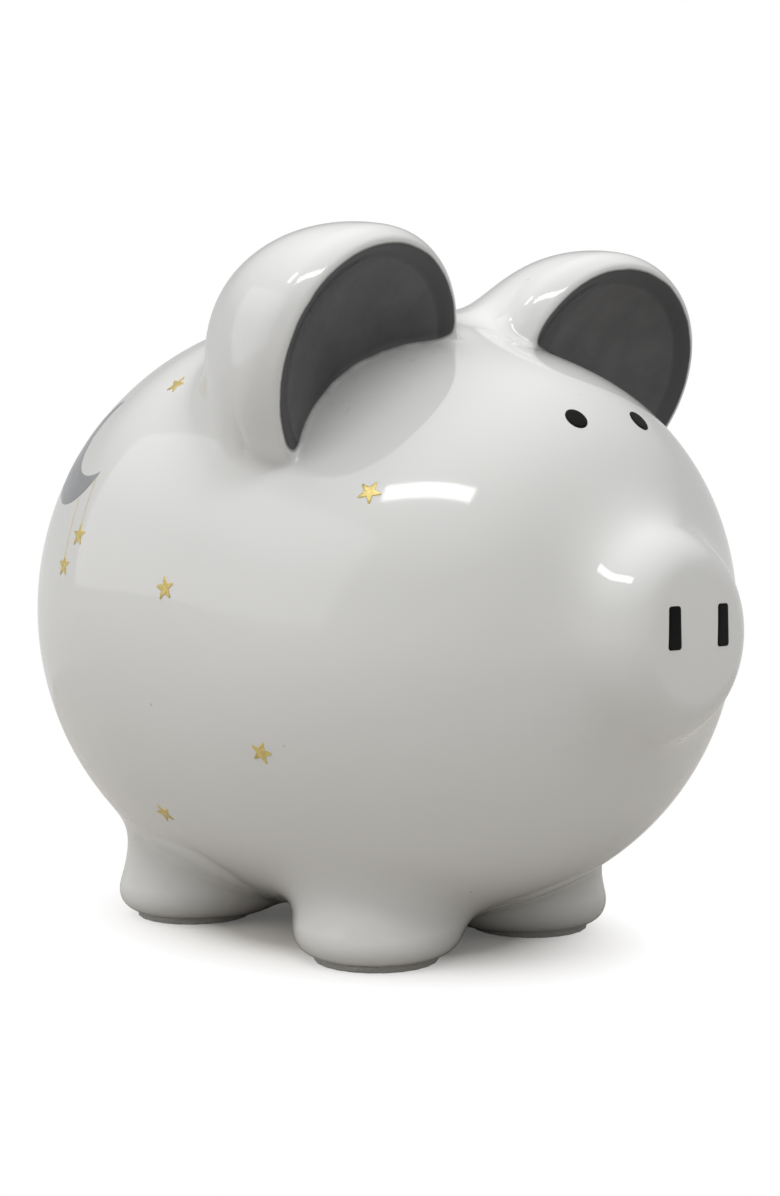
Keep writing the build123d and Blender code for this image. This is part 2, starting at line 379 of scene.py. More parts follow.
def edge_keys(start, end, size):
    """One number for each edge, whichever way it runs."""
    return np.minimum(start, end) * size + np.maximum(start, end)


def sample_grid(field, low, high, cell):
    """The field on a fine grid; far from the surface only its sign matters."""
    big = cell * COARSE
    counts = np.ceil((high - low) / big).astype(int)
    axes = [low[a] + (np.arange(counts[a]) + 0.5) * big for a in range(3)]
    coarse = np.stack(np.meshgrid(*axes, indexing="ij"), -1).reshape(-1, 3)
    values = field(coarse).reshape(counts)
    values = values.repeat(COARSE, 0).repeat(COARSE, 1).repeat(COARSE, 2)
    near = np.abs(values) < big * 1.6
    where = np.argwhere(near)
    values[near] = field(low + (where + 0.5) * cell)
    return values


def surface_net(field, low, high, cell):
    """Points and quads along the field's zero surface."""
    values = sample_grid(field, low, high, cell)
    inside = values < 0
    shape = np.array(values.shape) - 1
    total = np.zeros(tuple(shape) + (3,))
    hits = np.zeros(tuple(shape))
    corners = [(i, j, k) for i in (0, 1) for j in (0, 1) for k in (0, 1)]

    def part(grid, corner):
        i, j, k = corner
        return grid[i:i + shape[0], j:j + shape[1], k:k + shape[2]]

    for a in corners:
        for axis in range(3):
            if a[axis]:
                continue
            b = tuple(1 if n == axis else a[n] for n in range(3))
            va, vb = part(values, a), part(values, b)
            crossed = part(inside, a) != part(inside, b)
            t = np.where(crossed, va / np.where(crossed, va - vb, 1), 0)
            for n in range(3):
                total[..., n] += crossed * (a[n] + (t if n == axis else 0))
            hits += crossed
    used = hits > 0
    index = np.full(used.shape, -1)
    index[used] = np.arange(used.sum())
    places = np.argwhere(used) + total[used] / hits[used][:, None]
    quads = []
    for axis in range(3):
        u, v = (axis + 1) % 3, (axis + 2) % 3
        step = np.zeros(3, int)
        step[axis] = 1
        edge_shape = np.array(values.shape) - step
        first = inside[:edge_shape[0], :edge_shape[1], :edge_shape[2]]
        second = inside[step[0]:, step[1]:, step[2]:]
        crossing = np.argwhere(first != second)
        keep = (crossing[:, u] > 0) & (crossing[:, v] > 0)
        crossing = crossing[keep]
        leaving = first[tuple(crossing.T)]
        around = []
        for du, dv in ((1, 1), (0, 1), (0, 0), (1, 0)):
            beside = crossing.copy()
            beside[:, u] -= du
            beside[:, v] -= dv
            around.append(index[tuple(beside.T)])
        quad = np.stack(around, -1)
        quad[~leaving] = quad[~leaving][:, ::-1]
        quads.append(quad)
    return low + (places + 0.5) * cell, np.concatenate(quads)


def closed_net(field, low, high, cell):
    """A surface net in which every edge joins just two faces: an edge with four is drawn to a point."""
    points, quads = surface_net(field, low, high, cell)
    edges, uses = np.unique(edge_keys(*edge_ends(quads), len(points)), return_counts=True)
    crowded = edges[uses > 2]
    merged = np.arange(len(points))
    merged[crowded % len(points)] = crowded // len(points)
    return points, merged[quads]


def relax(points, quads, rounds=6):
    """Evens out the quads while keeping every corner on the surface."""
    pairs = np.unique(np.sort(np.stack(edge_ends(quads), -1), axis=1), axis=0)
    pairs = pairs[pairs[:, 0] != pairs[:, 1]]
    count = np.maximum(np.bincount(pairs.ravel(), minlength=len(points)), 1)
    for _ in range(rounds):
        mean = np.empty_like(points)
        for axis in range(3):
            column = points[:, axis]
            pulled = np.bincount(pairs[:, 0], column[pairs[:, 1]], len(points))
            pulled += np.bincount(pairs[:, 1], column[pairs[:, 0]], len(points))
            mean[:, axis] = pulled / count
        points = onto_surface(points + 0.5 * (mean - points), 1)
    return points


# ---------------------------------------------------------------- separate castings

APPENDAGES = ["ear_left", "ear_right"] + ["leg_" + leg for leg in LEGS] + ["tail"]


def casting_fields(p):
    """Each casting's own distance: body first, then the appendages."""
    rows = [np.minimum(body_field(p), snout_field(p))]
    rows += [ear_parts(p, side)[0] - EAR_APRON for side in (1, -1)]
    rows += [leg_field(p, leg) for leg in LEGS]
    rows.append(tail_field(p))
    return np.stack(rows, -1)


def face_neighbours(quads):
    """Pairs of faces that share an edge."""
    face = np.repeat(np.arange(len(quads)), 4)
    edges = edge_keys(*edge_ends(quads), quads.max() + 1)
    order = np.lexsort((face, edges))
    same = edges[order][:-1] == edges[order][1:]
    return np.stack([face[order][:-1][same], face[order][1:][same]], -1)


def patches_of(labels, pairs):
    """Numbers the connected patches of equal labels."""
    patch = np.arange(len(labels))
    same = pairs[labels[pairs[:, 0]] == labels[pairs[:, 1]]]
    while True:
        least = np.minimum(patch[same[:, 0]], patch[same[:, 1]])
        fresh = patch.copy()
        np.minimum.at(fresh, same[:, 0], least)
        np.minimum.at(fresh, same[:, 1], least)
        fresh = fresh[fresh]
        if np.array_equal(fresh, patch):
            return patch
        patch = fresh


def tidy_labels(labels, quads, pairs):
    """Gives stray patches to their neighbours and opens corners that touch at one point only."""
    for _ in range(6):
        patch = patches_of(labels, pairs)
        sizes = np.bincount(patch, minlength=len(labels))
        biggest = []
        for label in range(len(APPENDAGES) + 1):
            own = np.where(labels == label)[0]
            biggest.append(patch[own[np.argmax(sizes[patch[own]])]])
        stray = patch != np.array(biggest)[labels]
        changed = False
        for a, b in ((0, 1), (1, 0)):
            edge = pairs[stray[pairs[:, a]] & ~stray[pairs[:, b]]]
            labels[edge[:, a]] = labels[edge[:, b]]
            changed = changed or len(edge) > 0
        for label in range(1, len(APPENDAGES) + 1):
            own = quads[labels == label]
            start, end = border_edges(own)
            visits = np.bincount(np.concatenate([start, end]), minlength=quads.max() + 1)
            pinched = np.where(visits > 2)[0]
            if len(pinched):
                labels[np.isin(quads, pinched).any(axis=1)] = label
                changed = True
        if not changed:
            return labels
    return labels


def border_edges(faces):
    """Directed edges that only one of these faces has."""
    start, end = edge_ends(faces)
    size = int(faces.max()) + 1
    alone = ~np.isin(start * size + end, end * size + start)
    return start[alone], end[alone]


def border_loop(faces):
    """The faces' border as one ordered loop of corner numbers."""
    start, end = border_edges(faces)
    following = dict(zip(start.tolist(), end.tolist()))
    loops = []
    while following:
        first, onward = following.popitem()
        loop = [first]
        while onward != first:
            loop.append(onward)
            onward = following.pop(onward)
        loops.append(loop)
    return max(loops, key=len)


# The joint faces lie this far under the skin, in rings at these shares of the way to their middle.
JOINT_DEPTH = 1.2
JOINT_RINGS = (0.05, 0.3, 0.55, 0.8)


def onto_egg(p, grow):
    """Moves points onto the body egg, made larger by this much."""
    def field(q):
        return egg_field(q, grow)

    for _ in range(6):
        p = p - field(p)[:, None] * slope_of(field, p, 0.05)
    return p


def onward(ring):
    """A ring of corners, each moved on by one."""
    return ring[1:] + ring[:1]


def bands(rings):
    """Quads between rings of corners."""
    faces = []
    for upper, lower in zip(rings[:-1], rings[1:]):
        faces += zip(onward(upper), upper, lower, onward(lower))
    return faces


def fan(ring, tip):
    """Triangles from a ring of corners to a tip, wound as the bands before it."""
    return [(after, corner, tip) for corner, after in zip(ring, onward(ring))]


def numbered_rings(first, count, rings):
    """Corner numbers of rings that follow one another."""
    return [list(range(first + ring * count, first + (ring + 1) * count)) for ring in range(rings)]


def joint_cap(points, own, first_new):
    """The hidden face where a casting sits on the body, in rings from its border to its middle.

    Gives its new points and the faces that close the casting.
    """
    loop = border_loop(own)
    border = points[loop]
    centre = onto_egg(border.mean(axis=0)[None], -JOINT_DEPTH)
    level = egg_field(border) - JOINT_DEPTH
    new_points = []
    for share in JOINT_RINGS:
        row = border * (1 - share) + centre * share
        new_points.append(onto_egg(row, level * (1 - share) - JOINT_DEPTH * share))
    rings = [loop] + numbered_rings(first_new, len(loop), len(JOINT_RINGS))
    faces = bands(rings) + fan(rings[-1], first_new + len(JOINT_RINGS) * len(loop))
    return np.concatenate(new_points + [centre]), faces


def refined(points, quads):
    """Splits each quad in four; the new corners go onto the surface, except along the border."""
    size = len(points)
    keys = edge_keys(*edge_ends(quads), size)
    edges, which, uses = np.unique(keys, return_inverse=True, return_counts=True)
    middles = (points[edges // size] + points[edges % size]) / 2
    single = (edges // size) == (edges % size)
    inner = (uses > 1) & ~single
    middles[inner] = onto_surface(middles[inner], 2)
    centres = onto_surface(points[quads].mean(axis=1), 2)
    first_middle = size
    first_centre = size + len(edges)
    which = which.reshape(quads.shape) + first_middle
    own_centre = first_centre + np.arange(len(quads))
    pieces = []
    for corner in range(4):
        pieces.append(np.stack([quads[:, corner], which[:, corner], own_centre, which[:, corner - 1]], -1))
    return np.concatenate([points, middles, centres]), np.concatenate(pieces)


def compact(points, faces):
    """Drops the points that no face uses."""
    faces = [tuple(dict.fromkeys(face)) for face in faces]
    faces = [face for face in faces if len(face) > 2]
    used = np.unique(np.concatenate(faces))
    new = np.full(len(points), -1)
    new[used] = np.arange(len(used))
    new = new.tolist()
    return points[used], [tuple(new[corner] for corner in face) for face in faces]


def closed_casting(points, own, fine):
    """One casting's own skin, on a finer mesh if asked, closed by its joint face."""
    if fine:
        points, own = refined(points, own)
    extra, cap = joint_cap(points, own, len(points))
    return compact(np.concatenate([points, extra]), own.tolist() + cap)


def split_castings(points, quads):
    """The glazed skin as closed castings: {name: (points, faces)}."""
    pairs = face_neighbours(quads)
    middles = points[quads].mean(axis=1)
    labels = tidy_labels(casting_fields(middles).argmin(axis=1), quads, pairs)
    castings = {}
    body_points = [points]
    body_faces = quads[labels == 0].tolist()
    body_count = len(points)
    for label, name in enumerate(APPENDAGES, start=1):
        own = quads[labels == label]
        castings[name] = closed_casting(points, own, name.startswith("ear"))
        extra, cap = joint_cap(points, own, body_count)
        body_faces += [face[::-1] for face in cap]
        body_points.append(extra)
        body_count += len(extra)
    castings["body"] = compact(np.concatenate(body_points), body_faces)
    return castings


# ---------------------------------------------------------------- mesh helpers

def make_object(name, points, faces, body="pig"):
    """A smooth mesh object riding on a body, from points in millimetres."""
    mesh = bpy.data.meshes.new(name)
    mesh.from_pydata((np.asarray(points) * MM).tolist(), [], [tuple(int(i) for i in f) for f in faces])
    mesh.update()
    mesh.shade_smooth()
    piece = bpy.data.objects.new(name, mesh)
    bpy.context.scene.collection.objects.link(piece)
    if body:
        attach(piece, body)
    return piece


# The hollow, which keeps off a thick ring round the belly hole, and its own coarser grid.
RING_RADIUS = 27.0
HOLLOW_ROUNDING = 3.0
HOLLOW_CELL = 3.0


def cavity_field(p):
    """Distance to the hollow inside the body."""
    out = np.hypot(p[:, 0], p[:, 1] - HOLE_Y)
    ring = np.maximum(out - RING_RADIUS, p[:, 2] - SEAT_Z - WALL)
    return soft_max(body_field(p) + WALL, -ring, HOLLOW_ROUNDING)


def hollow_out(piece):
    """Cuts the hollow out of the body, which opens the coin slot and the belly hole."""
    low, high = SHELL_LOW - HOLLOW_CELL, SHELL_HIGH + HOLLOW_CELL
    points, quads = closed_net(cavity_field, low, high, HOLLOW_CELL)
    cavity = make_object("cavity", points, quads.tolist(), None)
    cut = piece.modifiers.new("hollow", "BOOLEAN")
    cut.operation = "DIFFERENCE"
    cut.solver = "EXACT"
    cut.object = cavity
    bpy.context.view_layer.update()
    evaluated = piece.evaluated_get(bpy.context.evaluated_depsgraph_get())
    mesh = bpy.data.meshes.new_from_object(evaluated)
    piece.modifiers.clear()
    old = piece.data
    piece.data = mesh
    mesh.name = piece.name
    bpy.data.meshes.remove(old)
    cavity_mesh = cavity.data
    bpy.data.objects.remove(cavity)
    bpy.data.meshes.remove(cavity_mesh)


# A vertex this close to the glazed surface is part of it; a face turned away keeps its own normal.
SKIN_TOLERANCE = 0.15
LEAST_AGREEMENT = 0.3


def glaze_normals(piece):
    """Gives the glazed surface its exact normals, so the castings meet without a visible seam."""
    mesh = piece.data
    count = len(mesh.vertices)
    places = np.empty(count * 3)
    mesh.vertices.foreach_get("co", places)
    places = places.reshape(-1, 3) / MM
    on_skin = np.abs(glazed_field(places)) < SKIN_TOLERANCE
    normals = np.zeros((count, 3))
    normals[on_skin] = outward_at(places[on_skin])
    corner_vertex = np.empty(len(mesh.loops), int)
    mesh.loops.foreach_get("vertex_index", corner_vertex)
    face_normal = np.empty(len(mesh.polygons) * 3)
    mesh.polygons.foreach_get("normal", face_normal)
    face_size = np.empty(len(mesh.polygons), int)
    mesh.polygons.foreach_get("loop_total", face_size)
    corner_face = np.repeat(np.arange(len(face_size)), face_size)
    corner_normal = normals[corner_vertex]
    agree = np.einsum("ij,ij->i", corner_normal, face_normal.reshape(-1, 3)[corner_face])
    corner_normal[agree < LEAST_AGREEMENT] = 0
    mesh.normals_split_custom_set(corner_normal.tolist())
    return places


FAR_FROM_PAINT = 50.0


def paint_distances(p):
    """How far each point is outside the grey paint in the ears, and outside the ears' mouths, which places
    the painted shade on the cup walls.
    """
    paint = np.full(len(p), FAR_FROM_PAINT)
    mouth = np.full(len(p), FAR_FROM_PAINT)
    for side in (-1, 1):
        ear, out, depth = ear_parts(p, side)
        inside = soft_max(out - EAR_MOUTH, PAINT_RISE - body_field(p), PAINT_CORNER)
        inside = np.maximum(inside, np.maximum(-depth - 2, depth - EAR_BOWL - 6))
        paint = np.minimum(paint, inside)
        mouth = np.minimum(mouth, out - EAR_MOUTH)
    return {"paint_distance": paint, "mouth_distance": mouth}


# ---------------------------------------------------------------- painted marks

def unit(v):
    return v / np.linalg.norm(v)


def mark_plane(node):
    """The plane that a CAD mark lies in."""
    low, high = node_box(node)
    return tangent_plane(onto_surface(((low + high) / 2)[None])[0])


def tangent_plane(middle):
    """The plane that touches the glaze here: its middle, sideways, up the surface and outward."""
    outward = outward_at(middle[None])[0]
    sideways = unit(np.cross((0.0, 0.0, 1.0), outward))
    return middle, sideways, np.cross(outward, sideways), outward


# The search for a place on the flank starts from an egg as blunt as this.
FLANK_BLUNTNESS = 2.4


def flank_spot(y, angle, side):
    """A place on the flank, this far along the pig and this many degrees above its axis."""
    length = FRONT_LENGTH if y < MID_Y else REAR_LENGTH
    radius = RADIUS * (1 - abs((y - MID_Y) / length) ** FLANK_BLUNTNESS) ** (1 / FLANK_BLUNTNESS)
    turn = math.radians(angle)
    start = np.array([[side * radius * math.cos(turn), y, AXIS_Z + radius * math.sin(turn)]])
    return onto_surface(start, 6)[0]


def inner_points(outline, spacing):
    """Grid points well inside an outline."""
    low, high = outline.min(axis=0), outline.max(axis=0)
    xs = np.arange(low[0] + spacing / 2, high[0], spacing)
    ys = np.arange(low[1] + spacing / 2, high[1], spacing)
    grid = np.array([(x, y) for x in xs for y in ys]).reshape(-1, 2)
    following = np.roll(outline, -1, axis=0)
    inside = np.zeros(len(grid), bool)
    nearest = np.full(len(grid), 1e9)
    for a, b in zip(outline, following):
        crosses = (a[1] > grid[:, 1]) != (b[1] > grid[:, 1])
        rise = b[1] - a[1] if b[1] != a[1] else 1e-9
        inside ^= crosses & (grid[:, 0] < a[0] + (grid[:, 1] - a[1]) / rise * (b[0] - a[0]))
        run = b - a
        t = np.clip((grid - a) @ run / max(run @ run, 1e-9), 0, 1)
        nearest = np.minimum(nearest, np.linalg.norm(grid - a - t[:, None] * run, axis=1))
    return grid[inside & (nearest > spacing * 0.45)]


def shrink(outline, distance):
    """The outline drawn in evenly, for a rounded edge."""
    mean = np.zeros_like(outline)
    for edge in (outline - np.roll(outline, 1, axis=0), np.roll(outline, -1, axis=0) - outline):
        mean += np.stack([-edge[:, 1], edge[:, 0]], -1) / np.linalg.norm(edge, axis=1)[:, None]
    mean /= np.maximum((mean * mean).sum(axis=1), 0.6)[:, None]
    return outline + 2 * distance * mean


def layer(outline, plane, spacing, height, edge):
    """A closed thin layer on the glaze with a rounded edge, from an anticlockwise outline."""
    middle, sideways, upward, outward = plane
    ring = shrink(outline, edge)
    inner = inner_points(ring, spacing)
    count = len(outline)
    flat = np.concatenate([ring, inner])
    corners = [Vector(p) for p in flat]
    edges = [(i, (i + 1) % count) for i in range(count)]
    made = mathutils.geometry.delaunay_2d_cdt(corners, edges, [], 1, 1e-5)
    top = np.array([tuple(v) for v in made[0]])
    order = [None] * count
    for new, olds in enumerate(made[3]):
        for old in olds:
            if old < count:
                order[old] = new

    def lift(points, above):
        place = middle + points[:, :1] * sideways + points[:, 1:] * upward
        for _ in range(12):
            place = place - glazed_field(place)[:, None] * outward
        return place + above * outward_at(place)

    rows = [lift(top, height), lift(outline, height * 0.45), lift(outline, -0.15), lift(ring, -0.2)]
    rings = numbered_rings(len(top), count, 3)
    faces = []
    for face in made[2]:
        a, b, c = (top[i] for i in face[:3])
        turn = (b[0] - a[0]) * (c[1] - a[1]) - (b[1] - a[1]) * (c[0] - a[0])
        faces.append(tuple(face) if turn > 0 else tuple(reversed(face)))
    faces += bands([order] + rings) + [tuple(reversed(rings[-1]))]
    return np.concatenate(rows), faces


def joined(parts):
    """Several point and face sets as one."""
    points, faces, count = [], [], 0
    for part_points, part_faces in parts:
        points.append(part_points)
        faces += [tuple(i + count for i in face) for face in part_faces]
        count += len(part_points)
    return np.concatenate(points), faces


def polar(radius, turn):
    return radius * math.cos(turn), radius * math.sin(turn)


def round_outline(radius_x, radius_y, count=40):
    turns = np.linspace(0, 2 * math.pi, count, endpoint=False)
    return np.stack([radius_x * np.cos(turns), radius_y * np.sin(turns)], -1)


def bar_outline(width, height, rounding):
    """An upright hand-painted bar with rounded corners, a little wider at its foot."""
    points = []
    for quarter, (sx, sy) in enumerate(((1, 1), (-1, 1), (-1, -1), (1, -1))):
        for step in range(7):
            turn = (quarter + step / 6) * math.pi / 2
            half = width / 2 * (1 - 0.05 * sy)
            points.append((sx * (half - rounding) + rounding * math.cos(turn),
                           sy * (height / 2 - rounding) + rounding * math.sin(turn)))
    return np.array(points)


def star_outline(radius, turn):
    """A five-pointed star with slightly blunted points."""
    points = []
    for corner in range(10):
        angle = math.pi / 2 + math.radians(turn) + corner * math.pi / 5
        if corner % 2 == 0:
            points += [polar(radius, angle - STAR_BLUNTNESS), polar(radius, angle + STAR_BLUNTNESS)]
        else:
            points.append(polar(STAR_WAIST * radius, angle))
    return np.array(points)


def crescent_outline(radius, bite_radius, shift):
    """Two arcs between the horns of the moon."""
    gap = math.hypot(*shift)
    along = (gap * gap + radius * radius - bite_radius * bite_radius) / (2 * gap)
    half = math.sqrt(radius * radius - along * along)
    towards = math.atan2(shift[1], shift[0])
    outer_turn = math.atan2(half, along)
    inner_turn = math.atan2(half, along - gap)
    outer_turns = np.linspace(outer_turn, 2 * math.pi - outer_turn, 64)
    inner_turns = np.linspace(2 * math.pi - inner_turn, inner_turn, 48)[1:-1]
    outer = np.array([polar(radius, towards + turn) for turn in outer_turns])
    inner = np.array([polar(bite_radius, towards + turn) for turn in inner_turns])
    return np.concatenate([outer, inner + shift])


# Stars on each flank: distance along the pig, degrees above its axis, turn in degrees.
FLANK_STARS = [(23.6, 46.6, 12), (-6.1, 6.5, -8), (-59.8, 29.2, 27), (-34, -22, 20), (17, -37, -15)]
STAR_RADIUS = 3.3
STAR_WAIST = 0.46
STAR_BLUNTNESS = 0.07
MOON_Y = 51.3
MOON_ANGLE = 33.5
MOON_RADIUS = 18.0
MOON_BITE_RADIUS = 15.8
MOON_BITE_SHIFT = (9.0, 7.0)
# Threads under the moon: distance along the pig, top and bottom in degrees; a star hangs below each.
THREADS = [(37.0, 26.5, 17.2), (43.3, 22.3, 11.7)]
THREAD_DOT = 0.24
THREAD_STEP = 0.85
NOSTRIL_SIZE = (4.7, 11.2)
NOSTRIL_ROUNDING = 0.9
EYE_RADIUS = 3.3
# Each mark's layer: grid spacing, height above the glaze, width of its rounded edge.
EYE_LAYER = (0.7, 0.22, 0.25)
NOSTRIL_LAYER = (0.7, 0.18, 0.2)
STAR_LAYER = (0.6, 0.16, 0.12)
MOON_LAYER = (1.2, 0.12, 0.12)
DOT_LAYER = (5.0, 0.08, 0.05)


def make_eyes_and_nostrils():
    for side in ("left", "right"):
        node = "eye_" + side
        shape = layer(round_outline(EYE_RADIUS, EYE_RADIUS), mark_plane(node), *EYE_LAYER)
        dress(make_object("eye_dot_" + side, *shape), node, black_enamel)
        node = "nostril_" + side
        shape = layer(bar_outline(*NOSTRIL_SIZE, NOSTRIL_ROUNDING), mark_plane(node), *NOSTRIL_LAYER)
        dress(make_object("nostril_bar_" + side, *shape), node, black_enamel)


def make_stars():
    parts = []
    for side in (-1, 1):
        for y, angle, turn in FLANK_STARS:
            plane = tangent_plane(flank_spot(y, angle, side))
            parts.append(layer(star_outline(STAR_RADIUS, side * turn), plane, *STAR_LAYER))
    for y, _, angle in THREADS:
        plane = tangent_plane(flank_spot(y, angle - math.degrees(STAR_RADIUS / RADIUS), -1))
        parts.append(layer(star_outline(STAR_RADIUS, 0), plane, *STAR_LAYER))
    dress(make_object("gold_star_foils", *joined(parts)), "gold_stars", gold_leaf)


def make_moon():
    plane = tangent_plane(flank_spot(MOON_Y, MOON_ANGLE, -1))
    outline = crescent_outline(MOON_RADIUS, MOON_BITE_RADIUS, MOON_BITE_SHIFT)
    piece = make_object("moon_decal", *layer(outline, plane, *MOON_LAYER))
    dress(piece, "moon", moon_enamel)


def make_threads():
    parts = []
    for y, top, bottom in THREADS:
        step = math.degrees(THREAD_STEP / RADIUS)
        for angle in np.arange(bottom + step / 2, top, step):
            plane = tangent_plane(flank_spot(y, angle, -1))
            parts.append(layer(round_outline(THREAD_DOT, THREAD_DOT * 1.25, 10), plane, *DOT_LAYER))
    dress(make_object("moon_thread_dots", *joined(parts)), "moon_threads", gold_leaf)


# ---------------------------------------------------------------- pads and stopper

def lathe(profile, centre, steps=96, wobble=None):
    """A closed turned shape about an upright axis, from (radius, height) pairs that start and end on it."""
    turns = np.linspace(0, 2 * math.pi, steps, endpoint=False)
    points = [(centre[0], centre[1], profile[0][1])]
    for radius, height in profile[1:-1]:
        for turn in turns:
            r = radius + (wobble(turn, height) if wobble else 0)
            points.append((centre[0] + r * math.cos(turn), centre[1] + r * math.sin(turn), height))
    points.append((centre[0], centre[1], profile[-1][1]))
    rings = numbered_rings(1, steps, len(profile) - 2)
    faces = bands(rings[::-1]) + fan(rings[0], 0) + fan(rings[-1][::-1], len(points) - 1)
    return np.array(points), faces


def rounded_profile(corners, rounding, steps=5):
    """Rounds the corners of an open (radius, height) outline."""
    corners = np.array(corners, float)
    result = [corners[0]]
    for before, corner, after in zip(corners[:-2], corners[1:-1], corners[2:]):
        to_before, to_after = before - corner, after - corner
        reach = min(rounding, np.linalg.norm(to_before) * 0.45, np.linalg.norm(to_after) * 0.45)
        start = corner + unit(to_before) * reach
        end = corner + unit(to_after) * reach
        for step in range(steps + 1):
            t = step / steps
            result.append((1 - t) ** 2 * start + 2 * t * (1 - t) * corner + t * t * end)
    result.append(corners[-1])
    return result


def make_pads():
    for number, leg in enumerate(LEGS):
        x, y = LEG_PLACES[leg]
        top = PAD_TOP + 0.02
        half = PAD_RADIUS * 0.5
        profile = [(0, 0), (half, 0), (PAD_RADIUS, 0), (PAD_RADIUS, top), (half, top), (0, top)]

        def fibres(turn, height):
            return 0.10 * math.sin(23 * turn + number + height) + 0.06 * math.sin(57 * turn + 2 * number)

        points, faces = lathe(rounded_profile(profile, 0.7), (x, y), 180, fibres)
        dress(make_object("felt_disc_" + leg, points, faces), "pad_" + leg, felt)


def make_stopper():
    """Flange with a raised lip, hollow ribbed plug and a pull tab, moulded in one soft piece."""
    low, high = STOPPER_LOW, STOPPER_HIGH
    flange = (high[0] - low[0]) / 2
    plug = HOLE_RADIUS - 0.12
    flange_top = SEAT_Z - 0.3
    flange_bottom = flange_top - 2.0
    top = high[2]
    outline = [(0, flange_bottom), (flange * 0.30, flange_bottom), (flange * 0.72, flange_bottom),
               (flange * 0.76, flange_bottom + 0.5), (flange * 0.86, flange_bottom + 0.5),
               (flange * 0.9, flange_bottom), (flange, flange_bottom), (flange, flange_top),
               (plug - 0.5, flange_top), (plug - 0.5, flange_top + 1.2)]
    for rib in range(2):
        base = flange_top + 1.2 + rib * 2.4
        outline += [(plug, base + 0.5), (plug, base + 1.2), (plug - 0.6, base + 1.9)]
    outline += [(plug - 0.6, top - 0.8), (plug - 1.2, top), (plug - 2.4, top), (plug - 2.8, top - 1),
                (plug - 3.0, SEAT_Z + 0.8), (plug * 0.4, SEAT_Z + 0.6), (0, SEAT_Z + 0.6)]
    plug_shape = lathe(rounded_profile(outline, 0.45, 4), (0, HOLE_Y), 128)
    shape = joined([plug_shape, pull_tab(flange_bottom, low[2])])
    piece = make_object("soft_stopper", *shape, "stopper")
    dress(piece, "belly_stopper", soft_vinyl)


def pull_tab(base, tip):
    """A thumb tab with a waisted outline, rounded all round and rooted in the flange."""
    rows, columns = 10, 40
    points = []
    for row in range(rows):
        share = row / (rows - 1)
        z = base + 0.4 + (tip - base - 0.4) * math.sin(share * math.pi / 2)
        grow = math.cos(share * math.pi / 2) ** 0.35 if row < rows - 1 else 0.25
        flare = 1 + 0.16 * (1 - share) ** 3
        for column in range(columns):
            turn = 2 * math.pi * column / columns
            c, s = math.cos(turn), math.sin(turn)
            x = 6.0 * grow * flare * math.copysign(abs(c) ** 0.55, c)
            y = 1.5 * grow * (2.2 * flare - 1.2) * math.copysign(abs(s) ** 0.7, s)
            y *= 1 - 0.18 * math.cos(math.pi * x / 7.0)
            points.append((x, HOLE_Y + y, z))
    faces = [tuple(range(columns))]
    for row in range(rows - 1):
        for i in range(columns):
            j = (i + 1) % columns
            a, b = row * columns, (row + 1) * columns
            faces.append((a + i, b + i, b + j, a + j))
    faces.append(tuple(reversed(range((rows - 1) * columns, rows * columns))))
    return np.array(points), faces


# ---------------------------------------------------------------- materials

